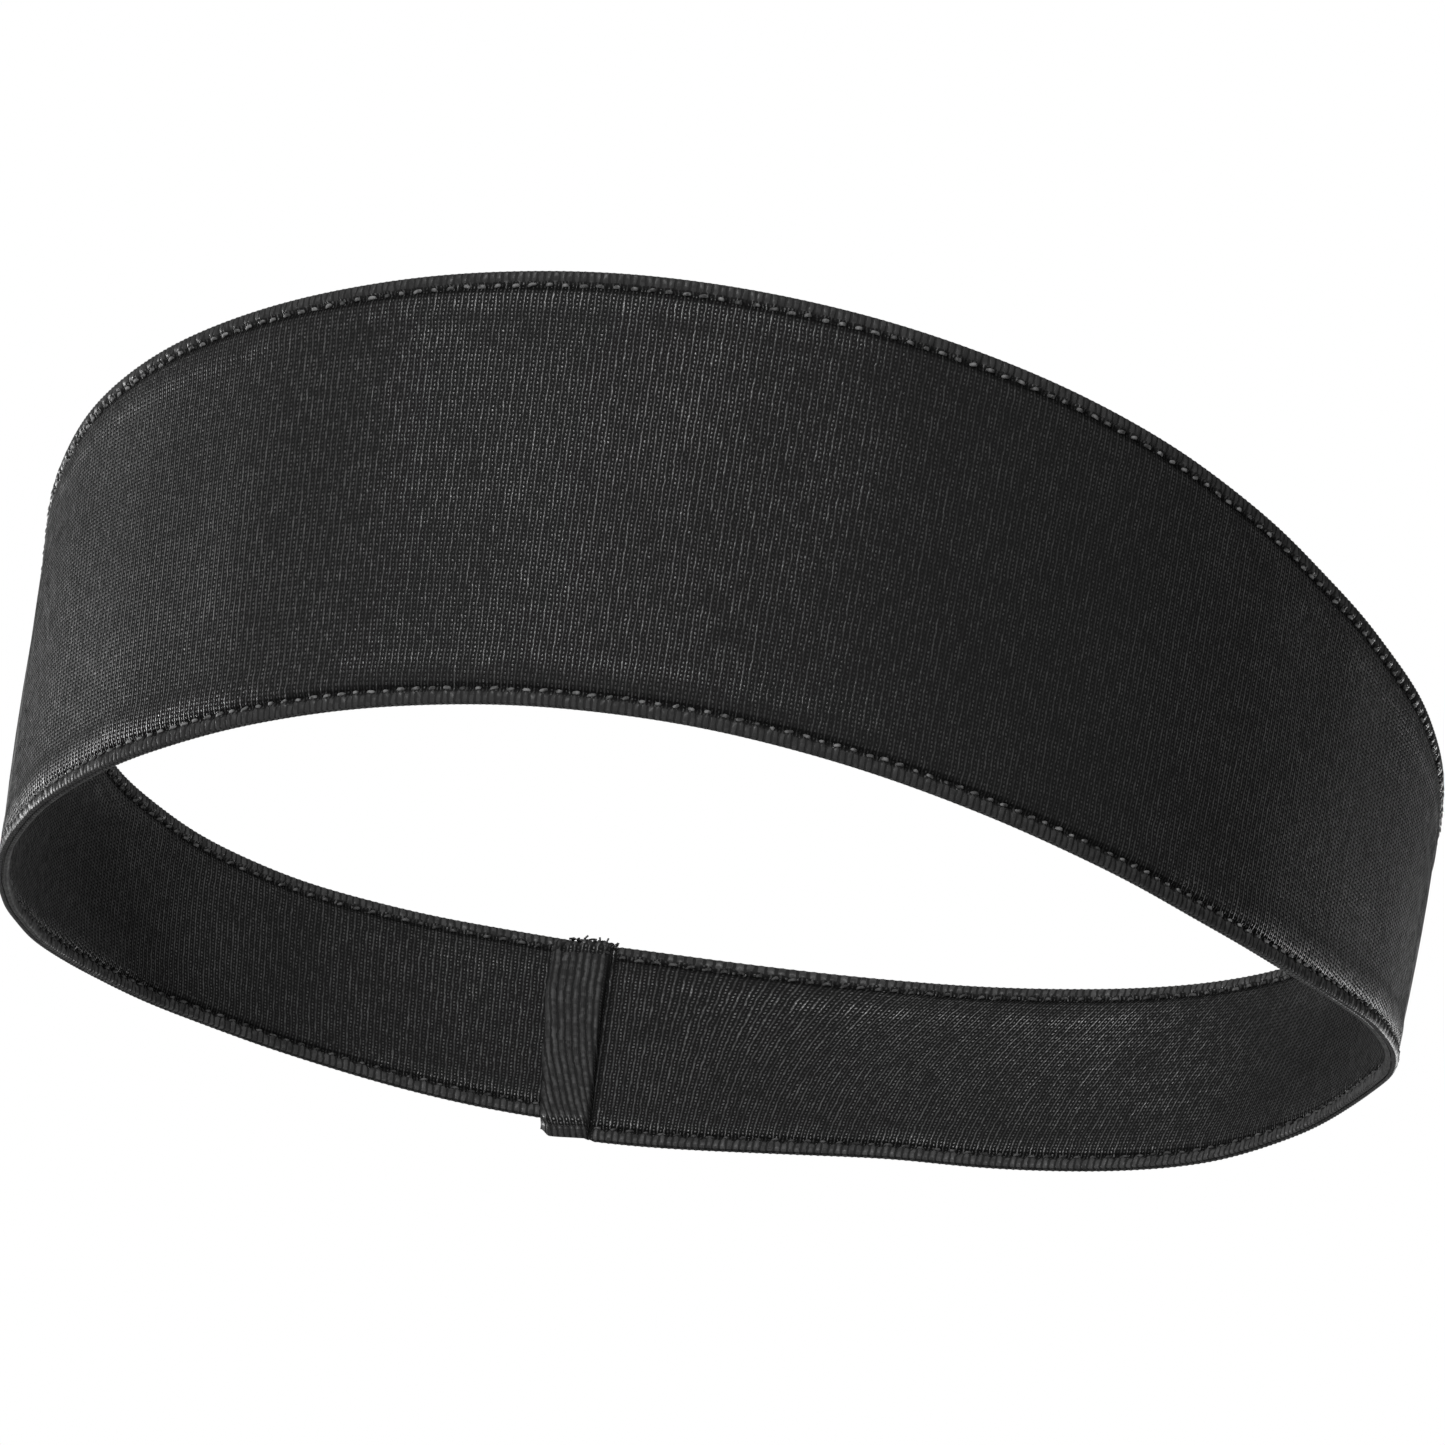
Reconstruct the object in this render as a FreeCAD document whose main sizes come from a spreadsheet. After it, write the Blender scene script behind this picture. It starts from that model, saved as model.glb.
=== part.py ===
import FreeCAD, Part
import math
import os
import Sketcher

# Sports headband: a self-lined tube of stretch knit cloth, closed to a loop by a seam at the back.
# +Z up, the forehead faces -Y, origin in the middle of the head opening. Millimetres.

doc = FreeCAD.newDocument("headband")
sheet = doc.addObject("Spreadsheet::Sheet", "Dims")

DRIVING = {
    # The outer face is ruled between a low oval and a high one. Front, back and side are
    # distances from the origin's axis to the face, and both ovals share their four radii.
    "low_front": 82.8, "low_back": 77, "low_side": 82.6,
    "high_front": 89.8, "high_back": 95.5, "high_side": 85.4,
    "oval_level": 32,
    "forehead_radius": 78.5, "temple_radius": 138, "corner_radius": 56.5, "nape_radius": 265,
    # Side outline: the lower edge dips beside the brow and rises to the nape, the top edge sags.
    # It runs past the band at both ends, where the heights are given.
    "outline_reach": 110,
    "top_front": 31.3, "top_back": 14.6, "top_radius": 950,
    "brow_front": -13.7, "brow_end_y": -14, "brow_end_z": -22.1, "brow_radius": 185,
    "nape_start_y": 30, "nape_start_z": -14.5, "nape_back": -17.5, "nape_sweep": 190,
    # Cloth, thread and where the seams run from the edges.
    "ply": 0.28, "seam_gap": 0.16, "turned_in": 5,
    "thread": 0.12, "stitch_width": 0.3, "closing_inset": 0.6, "topstitch_inset": 1.5,
    # The seam that closes the loop, off the middle of the back, and its folded flap.
    "seam_x": -24.6, "seam_slit": 0.3, "flap_width": 8, "flap_plies": 4,
}
DERIVED = {
    "hem": "=2 * ply",
    "lining_hem": "=2 * ply + seam_gap",
    "lining_wall": "=3 * ply + seam_gap",
    "lining_face": "=4 * ply + seam_gap",
    "flap_face": "=(4 + flap_plies) * ply + seam_gap",
    "closing_end": "=closing_inset + stitch_width",
    "topstitch_end": "=topstitch_inset + stitch_width",
}
for row, (alias, value) in enumerate({**DRIVING, **DERIVED}.items(), start=1):
    sheet.set(f"A{row}", alias)
    sheet.set(f"B{row}", str(value))
    sheet.setAlias(f"B{row}", alias)
doc.recompute()


def new_sketch(body, name, role, lift_axis, lift):
    """A sketch on one of the body's own origin planes, moved by an expression."""
    sketch = body.newObject("Sketcher::SketchObject", name)
    plane = next(f for f in body.Origin.OriginFeatures if f.Role == role)
    sketch.AttachmentSupport = (plane, "")
    sketch.MapMode = "FlatFace"
    sketch.setExpression(f"AttachmentOffset.Base.{lift_axis}", lift)
    return sketch


def worth(expression):
    return float(sheet.evalExpression(expression))


def drive(sketch, kind, expression, *where):
    """Adds a dimension to a sketch and binds it to the sheet."""
    index = sketch.addConstraint(Sketcher.Constraint(kind, *where, worth(expression)))
    sketch.setExpression(f"Constraints[{index}]", expression)


def toward(start, end):
    """Direction from one point to another, as an angle."""
    return math.atan2(end[1] - start[1], end[0] - start[0])


def oval_centres(front, back, side, forehead, temple, corner, nape):
    """Centres of the forehead, right temple, right corner and nape arcs, from their tangency."""
    front_centre = (0, forehead - front)
    nape_centre = (0, back - nape)
    temple_x = side - temple
    temple_y = front_centre[1] + math.sqrt((temple - forehead) ** 2 - temple_x ** 2)
    near, far = temple - corner, nape - corner
    dx, dy = -temple_x, nape_centre[1] - temple_y
    gap = math.hypot(dx, dy)
    along = (near ** 2 - far ** 2 + gap ** 2) / (2 * gap)
    across = math.sqrt(near ** 2 - along ** 2)
    corner_centre = (temple_x + (along * dx - across * dy) / gap,
                     temple_y + (along * dy + across * dx) / gap)
    return front_centre, (temple_x, temple_y), corner_centre, nape_centre


def draw_oval(sketch, level, depth):
    """Six tangent arcs, counter-clockwise from the forehead, a depth inside the outer face."""
    front, back, side, forehead, temple, corner, nape = (
        f"Dims.{name} - ({depth})"
        for name in (f"{level}_front", f"{level}_back", f"{level}_side",
                     "forehead_radius", "temple_radius", "corner_radius", "nape_radius"))
    sizes = [worth(text) for text in (front, back, side, forehead, temple, corner, nape)]
    middle, right, right_back, rear = oval_centres(*sizes)
    left, left_back = (-right[0], right[1]), (-right_back[0], right_back[1])
    at_brow, at_side, at_back = toward(right, middle), toward(right, right_back), toward(rear, right_back)
    half_turn = math.pi
    arcs = [
        (middle, sizes[3], -half_turn - at_brow, at_brow),
        (right, sizes[4], at_brow, at_side),
        (right_back, sizes[5], at_side, at_back),
        (rear, sizes[6], at_back, half_turn - at_back),
        (left_back, sizes[5], half_turn - at_back, half_turn - at_side),
        (left, sizes[4], half_turn - at_side, half_turn - at_brow),
    ]
    for centre, radius, start, end in arcs:
        circle = Part.Circle(FreeCAD.Vector(*centre, 0), FreeCAD.Vector(0, 0, 1), radius)
        sketch.addGeometry(Part.ArcOfCircle(circle, start, end))
    for arc in range(len(arcs)):
        following = (arc + 1) % len(arcs)
        sketch.addConstraint(Sketcher.Constraint("Tangent", arc, 2, following, 1))
    for arc, radius in enumerate((forehead, temple, corner, nape)):
        drive(sketch, "Radius", radius, arc)
    sketch.addConstraint(Sketcher.Constraint("Equal", 1, 5))
    sketch.addConstraint(Sketcher.Constraint("Equal", 2, 4))
    for arc in (0, 3):
        sketch.addConstraint(Sketcher.Constraint("PointOnObject", arc, 3, -2))
    drive(sketch, "DistanceY", f"{forehead} - ({front})", -1, 1, 0, 3)
    drive(sketch, "DistanceY", f"{back} - ({nape})", -1, 1, 3, 3)
    drive(sketch, "DistanceX", f"{side} - ({temple})", -1, 1, 1, 3)
    drive(sketch, "DistanceX", f"{temple} - ({side})", -1, 1, 5, 3)


def plug(name, depth):
    """A filled oval whose wall lies a depth inside the band's outer face."""
    body = doc.addObject("PartDesign::Body", name)
    ovals = []
    for level, sign in (("low", "-"), ("high", "")):
        oval = new_sketch(body, f"{name}_{level}", "XY_Plane", "z", f"{sign}Dims.oval_level")
        draw_oval(oval, level, depth)
        ovals.append(oval)
    doc.recompute()
    loft = body.newObject("PartDesign::AdditiveLoft", f"{name}_wall")
    loft.Profile = ovals[0]
    loft.Sections = [ovals[1]]
    loft.Ruled = True
    body.Tip = loft
    return body


# Corners of the side outline, each with the radius and bulge of the arc that leaves it, if any.
OUTLINE = [
    ("-Dims.outline_reach", "Dims.brow_front", "Dims.brow_radius", -1),
    ("Dims.brow_end_y", "Dims.brow_end_z", None, 0),
    ("Dims.nape_start_y", "Dims.nape_start_z", "Dims.nape_sweep", 1),
    ("Dims.outline_reach", "Dims.nape_back", None, 0),
    ("Dims.outline_reach", "Dims.top_back", "Dims.top_radius", -1),
    ("-Dims.outline_reach", "Dims.top_front", None, 0),
]


def slab(name, shift):
    """The side outline as a block across the whole band, moved up by a shift."""
    body = doc.addObject("PartDesign::Body", name)
    sketch = new_sketch(body, f"{name}_outline", "YZ_Plane", "y", shift)
    points = [FreeCAD.Vector(worth(along), worth(height), 0) for along, height, _, _ in OUTLINE]
    for index, (along, height, radius, bulge) in enumerate(OUTLINE):
        start, end = points[index], points[(index + 1) % len(points)]
        if radius is None:
            sketch.addGeometry(Part.LineSegment(start, end))
        else:
            half = (end - start).Length / 2
            rise = worth(radius) - math.sqrt(worth(radius) ** 2 - half ** 2)
            middle = (start + end) / 2 + FreeCAD.Vector(0, bulge * rise, 0)
            sketch.addGeometry(Part.Arc(start, middle, end))

    def end_at(edge, point):
        """Which end of an edge, 1 or 2, is nearer to a point."""
        return min((1, 2), key=lambda end: sketch.getPoint(edge, end).distanceToPoint(point))

    for index, (along, height, radius, _) in enumerate(OUTLINE):
        before = (index - 1) % len(OUTLINE)
        here, there = end_at(index, points[index]), end_at(before, points[index])
        sketch.addConstraint(Sketcher.Constraint("Coincident", before, there, index, here))
        drive(sketch, "DistanceX", along, -1, 1, index, here)
        drive(sketch, "DistanceY", height, -1, 1, index, here)
        if radius:
            drive(sketch, "Radius", radius, index)
    doc.recompute()
    pad = body.newObject("PartDesign::Pad", f"{name}_pad")
    pad.Profile = sketch
    pad.setExpression("Length", "2 * Dims.outline_reach")
    pad.SideType = "Symmetric"
    body.Tip = pad
    return body


def cut(name, base, tool):
    result = doc.addObject("Part::Cut", name)
    result.Base, result.Tool = base, tool
    return result


def common(name, base, tool):
    result = doc.addObject("Part::Common", name)
    result.Base, result.Tool = base, tool
    return result


def fuse(name, shapes):
    result = doc.addObject("Part::MultiFuse", name)
    result.Shapes = shapes
    return result


def column(name, start, width):
    """A block across the back of the band, from a place along X and of a width."""
    box = doc.addObject("Part::Box", name)
    box.setExpression("Length", width)
    box.setExpression("Width", "Dims.outline_reach")
    box.setExpression("Height", "2 * Dims.oval_level")
    box.setExpression("Placement.Base.x", start)
    box.setExpression("Placement.Base.z", "-Dims.oval_level")
    return box


# Walls at each depth of cloth, from the needle thread outside to the thread over the flap.
walls = {name: plug(f"{name}_plug", depth) for name, depth in {
    "needle": "-Dims.thread",
    "outer": "0 * Dims.ply",
    "outer_ply": "Dims.ply",
    "hem": "Dims.hem",
    "lining_hem": "Dims.lining_hem",
    "lining_wall": "Dims.lining_wall",
    "lining_face": "Dims.lining_face",
    "bobbin": "Dims.lining_face + Dims.thread",
    "flap_face": "Dims.flap_face",
    "flap_bobbin": "Dims.flap_face + Dims.thread",
}.items()}


def edge_rows(name, near, far):
    """The two rows a distance in from the upper and from the lower edge, as (upper, lower)."""
    rows = []
    for edge, sign in (("upper", "-"), ("lower", "")):
        outer = slab(f"{name}_{edge}_near", f"{sign}Dims.{near}")
        inner = slab(f"{name}_{edge}_far", f"{sign}Dims.{far}")
        rows.append(cut(f"{name}_{edge}_row", outer, inner))
    return rows


band = slab("band", "0 * Dims.ply")
middle_zone = common("middle_zone", slab("above_lower_hem", "Dims.turned_in"),
                     slab("below_upper_hem", "-Dims.turned_in"))
closing_rows = edge_rows("closing", "closing_inset", "closing_end")
topstitch_rows = edge_rows("topstitch", "topstitch_inset", "topstitch_end")
seam_slit = column("seam_slit_column", "Dims.seam_x", "Dims.seam_slit")
flap_column = column("flap_column", "Dims.seam_x - Dims.flap_width", "Dims.flap_width")


def panel(label, face, hem, wall, inner):
    """One cloth loop: a single ply, doubled where its edges are turned in, open at the seam.

    face and inner bound the doubled edges; hem and wall bound the cloth taken out between them.
    """
    edge = common(f"{label}_edges", band, cut(f"{label}_ring", walls[face], walls[inner]))
    relief = common(f"{label}_relief", middle_zone, cut(f"{label}_gap", walls[hem], walls[wall]))
    loop = cut(f"{label}_loop", edge, relief)
    result = cut(label, loop, seam_slit)
    result.Label = label
    return result


outer_panel = panel("outer_panel", "outer", "outer_ply", "hem", "hem")
inner_panel = panel("inner_panel", "lining_hem", "lining_hem", "lining_wall", "lining_face")

pieces = [outer_panel, inner_panel]

# Closing seams, between the turned edges, and the topstitching that runs along both faces.
for index, edge in enumerate(("upper", "lower")):
    closing_ring = cut(f"{edge}_closing_ring", walls["hem"], walls["lining_hem"])
    closing = common(f"{edge}_closing_seam", closing_ring, closing_rows[index])
    needle_ring = cut(f"{edge}_needle_ring", walls["needle"], walls["outer"])
    needle = common(f"{edge}_needle_topstitch", needle_ring, topstitch_rows[index])
    lining_ring = cut(f"{edge}_bobbin_ring", walls["lining_face"], walls["bobbin"])
    beside_flap = cut(f"{edge}_beside_flap", lining_ring, flap_column)
    flap_ring = cut(f"{edge}_flap_ring", walls["flap_face"], walls["flap_bobbin"])
    over_flap = common(f"{edge}_over_flap", flap_ring, flap_column)
    whole = fuse(f"{edge}_bobbin_thread", [beside_flap, over_flap])
    bobbin = common(f"{edge}_bobbin_topstitch", whole, topstitch_rows[index])
    pieces += [closing, needle, bobbin]

# The cloth ends, four plies folded to one side and lying on the lining.
flap_ring = cut("flap_ring", walls["lining_face"], walls["flap_face"])
flap_strip = common("flap_strip", flap_ring, flap_column)
flap = common("back_seam_flap", flap_strip, band)

# The thread that joins the ends stands in the slit between them.
seam_ring = cut("seam_ring", walls["outer_ply"], walls["lining_wall"])
seam_strip = common("seam_strip", seam_ring, seam_slit)
seam_thread = common("back_seam_thread", seam_strip, band)
pieces += [flap, seam_thread]

doc.recompute()
for item in doc.Objects:
    faults = {"Invalid", "Error"} & set(item.State)
    if faults:
        raise RuntimeError(f"{item.Label}: {sorted(faults)}")

os.makedirs("parts", exist_ok=True)
for piece in pieces:
    shape = piece.Shape
    if shape.isNull() or not shape.isValid() or not shape.Solids:
        raise RuntimeError(f"{piece.Label} has no valid solid")
    shape.exportStep(f"parts/{piece.Name}.step")
    print(f"{piece.Name}: {len(shape.Solids)} solid, {shape.Volume:.1f} mm3")
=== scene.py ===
import math

import bpy
import numpy as np
from mathutils import Matrix, Vector
from mathutils.bvhtree import BVHTree


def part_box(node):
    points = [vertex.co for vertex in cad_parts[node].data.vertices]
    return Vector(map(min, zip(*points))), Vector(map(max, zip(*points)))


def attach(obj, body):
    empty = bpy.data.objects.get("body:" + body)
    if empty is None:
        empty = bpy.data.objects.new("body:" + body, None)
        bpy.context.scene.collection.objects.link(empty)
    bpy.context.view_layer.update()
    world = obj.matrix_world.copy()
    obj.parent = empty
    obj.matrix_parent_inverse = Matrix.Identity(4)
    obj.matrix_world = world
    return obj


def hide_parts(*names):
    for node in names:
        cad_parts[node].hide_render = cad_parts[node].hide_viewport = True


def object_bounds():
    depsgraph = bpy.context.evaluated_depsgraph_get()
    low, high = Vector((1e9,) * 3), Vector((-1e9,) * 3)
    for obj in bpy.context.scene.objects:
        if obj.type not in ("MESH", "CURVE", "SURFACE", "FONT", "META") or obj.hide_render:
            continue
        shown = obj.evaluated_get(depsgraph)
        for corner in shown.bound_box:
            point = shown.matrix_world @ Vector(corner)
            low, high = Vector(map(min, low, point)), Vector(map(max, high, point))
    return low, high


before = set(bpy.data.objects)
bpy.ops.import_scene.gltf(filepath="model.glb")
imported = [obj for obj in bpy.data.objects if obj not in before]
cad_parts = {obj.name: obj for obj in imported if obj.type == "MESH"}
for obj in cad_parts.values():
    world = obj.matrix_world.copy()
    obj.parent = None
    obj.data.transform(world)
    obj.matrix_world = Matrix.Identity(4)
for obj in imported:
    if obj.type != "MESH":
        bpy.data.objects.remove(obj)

cadBox = [[float(value) for value in corner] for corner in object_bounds()]
mm = 0.001
turn = 2 * math.pi

for picked in bpy.context.selected_objects:
    picked.select_set(False)


# The run of the band: its rims come from the frame, then the soft loop settles a little off them.

band = {
    "looks": 180,  # places round the loop where the frame is measured
    "tallest": 36 * mm,  # no rim is further than this from mid height
    "halvings": 15,
    "wavesKept": 10,  # rounds off the joins between the arcs of the frame
    # the soft loop stands off the frame's ovals here and there: degrees from the forehead towards the
    # wearer's left, half width in degrees, then how far it bulges and each rim is lifted, in mm
    "settle": [
        (-80, 24, -2.7, -0.2, 0.0),
        (-22, 24, 0.0, -0.7, 0.0),
        (15, 22, 0.0, 0.0, 0.4),
        (48, 28, 0.6, 0.7, 0.5),
        (86, 20, 1.8, 0.3, 0.0),
        (122, 14, -1.0, 0.6, 0.5),
        (132, 14, 0.0, 0.5, 0.0),
        (152, 22, 0.0, 0.0, -0.9),
        (172, 20, 0.0, -1.1, 0.0),
        (-138, 12, 0.0, -0.2, 0.4),
        (-112, 26, 0.0, -1.1, -0.5),
    ],
    "steps": 4320,
    "halfThick": 0.56 * mm,
    "crown": 0.25 * mm,  # the middle of the band stands out past its rims
    "ripples": 14,
    "rippleHeight": 0.07 * mm,
    "rippleAtRims": 0.35,
    "rippleRounds": (4, 34),
    "rippleSlant": 4.5,
    "rippleShare": (0.3, 1.0),
    "kinkDrop": 2.5 * mm,  # the two ends of the band are sewn together a little out of line
    "kinkAt": 0.2 * mm,
    "kinkSharp": 1.3 * mm,
    "kinkFade": 45 * mm,
    "tuck": 0.35 * mm,  # and is drawn up a little further on
    "tuckAt": 34 * mm,
    "tuckWide": 17 * mm,
    "seed": 7,
}

cloth = {
    "ribAtFront": 0.775 * mm,
    "ribAtBack": 0.90 * mm,  # the narrow back is pulled longer, so its ribs lie further apart
    "stretchFrom": -15 * mm,
    "stretchTo": 70 * mm,
    "perRib": 3,  # mesh columns to a rib
    "ribHeight": 0.035 * mm,
    "ribOnBead": 0.18 * mm,
    "ribOnTip": 0.09 * mm,
    "ribReach": (0, 0.45 * mm, 1.1 * mm, 1.6 * mm),  # from its tip, over the bead, to the flat
    "ribSunk": 0.35,
    "swing": 9.0 * mm,  # beside the back seam the lining's ribs lean over towards the upper rim
    "swingFrom": -1.0 * mm,
    "swingTo": -30 * mm,
    "swingFade": (-90 * mm, -150 * mm),
    "swingShare": 0.93,
    "swingCurve": 2.1,
    "hiddenStep": 6,  # only every sixth column goes on behind, where nothing shows
    "foldCentre": 0.31 * mm,  # from the mid plane between the two cloths
    "foldRadius": 0.26 * mm,
    "foldFull": 1.05,
    "foldAngles": (0, 28, 56, 80),
    "rowInsets": (0.46, 0.80, 1.14, 1.40, 1.60, 1.80, 2.06, 2.7, 4.4, 4.95, 5.5, 6.3),  # mm from a rim
    "middleRows": (0.2, 0.4, 0.6, 0.8),
    "face": 0.58 * mm,
    "swell": 0.07 * mm,  # the rolled rim, outside the stitching
    "swellAt": 0.80 * mm,
    "swellWide": 0.42 * mm,
    "stitchAt": 1.60 * mm,
    "groove": 0.30 * mm,
    "grooveAt": 1.78 * mm,
    "grooveWide": 0.40 * mm,
    "turnedIn": 5.0 * mm,
    "turnedStep": 0.15 * mm,  # the turned edge prints through where it ends
    "turnedFrom": -0.4 * mm,
    "turnedTo": 1.0 * mm,
    "lump": 0.17 * mm,  # the rolled rim bulges between the needle holes
    "lumpAt": 1.20 * mm,
    "lumpWide": 0.40 * mm,
    "hole": 0.22 * mm,
    "holeWide": 0.30 * mm,
    "ribsPerStitch": 2.38,
    "seamDip": 0.42 * mm,  # the back seam pulls both cloths in
    "seamWide": 0.42 * mm,
    "rolledFrom": 1.0 * mm,  # the painted highlight on the rolled rim fades out here
    "rolledTo": 1.6 * mm,
    "darkAt": 1.85 * mm,  # painted shade at the bottom of the stitch groove
    "darkWide": 0.38 * mm,
    # painted shade in the back seam's groove: how dark, then where and how wide on the lining and on the
    # outer cloth
    "seamShade": 0.6,
    "seamShadeInside": (-0.05 * mm, 0.40 * mm),
    "seamShadeOutside": (0.0, 0.30 * mm),
}


def ease(low, high, value):
    x = np.clip((value - low) / (high - low), 0, 1)
    return x * x * (3 - 2 * x)


def hump(value, centre, wide):
    return np.exp(-(((value - centre) / wide) ** 2))


def frameRims():
    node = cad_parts["outer_panel"]
    corners = [vertex.co for vertex in node.data.vertices]
    tree = BVHTree.FromPolygons(corners, [face.vertices[:] for face in node.data.polygons])
    far = 2 * max(cadBox[1])

    def faceRadius(angle, height):
        away = Vector((math.sin(angle), -math.cos(angle), 0))
        hit = tree.ray_cast(away * far + Vector((0, 0, height)), -away)[0]
        return None if hit is None or hit.dot(away) < 0 else math.hypot(hit.x, hit.y)

    rims = []
    for angle in np.linspace(0, turn, band["looks"], endpoint=False):
        found = []
        for way in (1, -1):
            onCloth, past = 0.0, way * band["tallest"]
            for halving in range(band["halvings"]):
                middle = (onCloth + past) / 2
                if faceRadius(angle, middle) is None:
                    past = middle
                else:
                    onCloth = middle
            found += [faceRadius(angle, onCloth), onCloth]
        rims.append(found)
    return np.array(rims).T


def settled(angles):
    total = np.zeros((3, len(angles)))
    for place, wide, bulge, upper, lower in band["settle"]:
        away = np.mod(angles - math.radians(place) + math.pi, turn) - math.pi
        share = hump(away, 0, math.radians(wide))
        total += np.outer([bulge * mm, upper * mm, lower * mm], share)
    return total


def evenly(values, angles):
    waves = np.fft.rfft(values) / len(values)
    total = np.full(len(angles), waves[0].real)
    for n in range(1, band["wavesKept"] + 1):
        total += 2 * (waves[n].real * np.cos(n * angles) - waves[n].imag * np.sin(n * angles))
    return total


def layLoop():
    seamLow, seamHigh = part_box("back_seam_thread")
    middle = (seamLow + seamHigh) / 2
    seamAngle = math.atan2(middle.x, -middle.y)
    angles = seamAngle + np.linspace(0, turn, band["steps"] + 1)
    radiusUp, heightUp, radiusLow, heightLow = [evenly(values, angles) for values in frameRims()]
    bulge, liftUp, liftLow = settled(angles)
    radiusUp += bulge
    radiusLow += bulge
    heightUp += liftUp
    heightLow += liftLow
    upper = np.stack([radiusUp * np.sin(angles), -radiusUp * np.cos(angles), heightUp], 1)
    lower = np.stack([radiusLow * np.sin(angles), -radiusLow * np.cos(angles), heightLow], 1)
    stride = np.linalg.norm(np.diff((upper + lower) / 2, axis=0), axis=1)
    walked = np.concatenate([[0], np.cumsum(stride)])
    length = walked[-1]
    even = np.linspace(0, length, band["steps"], endpoint=False)

    def spread(rim):
        return np.stack([np.interp(even, walked, rim[:, k]) for k in range(3)], 1)

    upper, lower = spread(upper), spread(lower)
    along = np.roll(upper + lower, -1, 0) - np.roll(upper + lower, 1, 0)
    out = np.cross(along, upper - lower)
    out /= np.linalg.norm(out, axis=1, keepdims=True)
    return {"upper": upper, "lower": lower, "out": out, "length": length}


def countRibs():
    # how many ribs have been passed at each step round the loop
    back = (loop["upper"][:, 1] + loop["lower"][:, 1]) / 2
    wide = cloth["ribAtFront"] + (cloth["ribAtBack"] - cloth["ribAtFront"]) * ease(
        cloth["stretchFrom"], cloth["stretchTo"], back
    )
    passed = np.concatenate([[0], np.cumsum(length / band["steps"] / wide)])
    whole = round(passed[-1])
    return passed * whole / passed[-1], whole


loop = layLoop()
length = loop["length"]
ribsPassed, ribCount = countRibs()
stepPlaces = np.linspace(0, length, band["steps"] + 1)
stitchCount = round(ribCount / cloth["ribsPerStitch"])
ribUnit = 0.8 * mm  # one rib on the cloth's own map
dice = np.random.default_rng(band["seed"])
ripples = [
    (
        dice.integers(*band["rippleRounds"]),
        dice.uniform(-band["rippleSlant"], band["rippleSlant"]),
        dice.uniform(0, turn),
        dice.uniform(*band["rippleShare"]),
    )
    for number in range(band["ripples"])
]
print(f"band laid: {length * 1000:.1f} mm round, {ribCount} ribs, {stitchCount} stitches a row")


def placeOfRib(rib):
    turns = np.floor(np.asarray(rib, float) / ribCount)
    return np.interp(rib - turns * ribCount, ribsPassed, stepPlaces) + turns * length


def at(values, along):
    place = np.mod(np.asarray(along, float) / length, 1) * len(values)
    first = np.floor(place).astype(int) % len(values)
    rest = (place - np.floor(place))[..., None]
    return values[first] * (1 - rest) + values[(first + 1) % len(values)] * rest


def sinceSeam(along):
    return np.mod(np.asarray(along, float) + length / 2, length) - length / 2


def kink(along):
    after = sinceSeam(along) - band["kinkAt"]
    drop = band["kinkDrop"] * (1 - ease(0, band["kinkSharp"], after)) * ease(-band["kinkFade"], 0, after)
    return drop - band["tuck"] * hump(after, band["tuckAt"], band["tuckWide"])


def heightOf(along):
    return np.linalg.norm(at(loop["upper"], along) - at(loop["lower"], along), axis=-1) + kink(along)


def bandPoint(along, drop, lift):
    # drop runs from 0 at the upper rim to 1 at the lower, lift stands out from the mid plane
    along, drop, lift = np.broadcast_arrays(np.asarray(along, float), drop, lift)
    top, low, out = at(loop["upper"], along), at(loop["lower"], along), at(loop["out"], along)
    down = (low - top) / np.linalg.norm(low - top, axis=-1, keepdims=True)
    low = low + down * kink(along)[..., None]
    arc = 4 * drop * (1 - drop)
    wave = sum(
        share * np.sin(rounds * turn * along / length + slant * drop + start)
        for rounds, slant, start, share in ripples
    )
    atRims = band["rippleAtRims"]
    wave = wave * band["rippleHeight"] * (atRims + (1 - atRims) * np.clip(arc, 0, 1))
    dip = cloth["seamDip"] * hump(sinceSeam(along), 0, cloth["seamWide"])
    sunk = np.sign(lift) * np.minimum(dip, np.abs(lift))
    offset = lift - sunk + band["crown"] * arc + wave - band["halfThick"]
    return top + (low - top) * drop[..., None] + out * offset[..., None]


def meshPiece(name, points, faces, uvs=None, rollAndShade=None):
    mesh = bpy.data.meshes.new(name)
    mesh.from_pydata([tuple(point) for point in points], [], faces)
    if uvs is not None:
        layer = mesh.uv_layers.new(name="knit")
        layer.data.foreach_set("uv", np.asarray(uvs, np.float32).ravel())
    if rollAndShade is not None:
        values = mesh.attributes.new("rollAndShade", "FLOAT", "POINT").data
        values.foreach_set("value", np.asarray(rollAndShade, np.float32))
    mesh.polygons.foreach_set("use_smooth", [True] * len(mesh.polygons))
    mesh.update()
    piece = bpy.data.objects.new(name, mesh)
    bpy.context.scene.collection.objects.link(piece)
    return piece


# The two cloths.

def faceLift(inset):
    bead = cloth["swell"] * hump(inset, cloth["swellAt"], cloth["swellWide"])
    pull = cloth["groove"] * hump(inset, cloth["grooveAt"], cloth["grooveWide"])
    first, last = [cloth["turnedIn"] + cloth[name] for name in ("turnedFrom", "turnedTo")]
    return cloth["face"] + bead - pull - cloth["turnedStep"] * ease(first, last, inset)


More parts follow.
